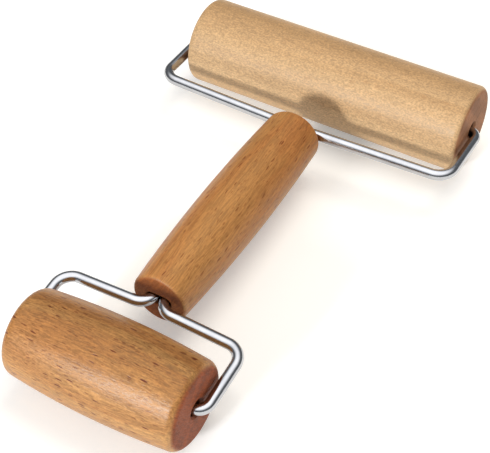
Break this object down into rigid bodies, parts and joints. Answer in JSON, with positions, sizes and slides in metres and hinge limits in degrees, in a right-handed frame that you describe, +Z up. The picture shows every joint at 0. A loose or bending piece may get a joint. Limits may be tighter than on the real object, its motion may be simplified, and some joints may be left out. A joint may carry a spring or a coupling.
{
  "type": "double-ended pastry roller",
  "caption": "Hand pastry and dough roller: a turned wooden handle with a wide plain roller at one end and a short crowned roller at the other, each spinning on a bent steel wire.",
  "frame": {"origin": "on the worktop, under the middle of the object's bounding box, with both rollers resting on the worktop", "axes": "+X along the roller axes, +Y along the handle towards the wide roller, +Z up from the worktop"},
  "size_m": [0.1184, 0.183, 0.032],
  "materials": {
    "handle_wood": "satin lacquer",
    "barrel_wood": "satin lacquer",
    "pale_wood": "satin lacquer",
    "polished_wire": "polished",
    "glue": "set epoxy"
  },
  "bodies": {
    "handle": {"handle": "handle_wood", "wide_frame": "polished_wire", "narrow_frame": "polished_wire", "wide_end_glue": "glue", "barrel_end_glue": "glue"},
    "wide_roller": {"wide_roller": "pale_wood"},
    "barrel_roller": {"barrel_roller": "barrel_wood"}
  },
  "joints": [
    {"name": "wide_roller_spin", "type": "hinge", "parent": "handle", "child": "wide_roller", "pos_m": [0, 0.0755, 0.016], "axis": [1, 0, 0], "continuous": true},
    {"name": "barrel_roller_spin", "type": "hinge", "parent": "handle", "child": "barrel_roller", "pos_m": [0.0013, -0.0755, 0.016], "axis": [1, 0, 0], "continuous": true}
  ]
}
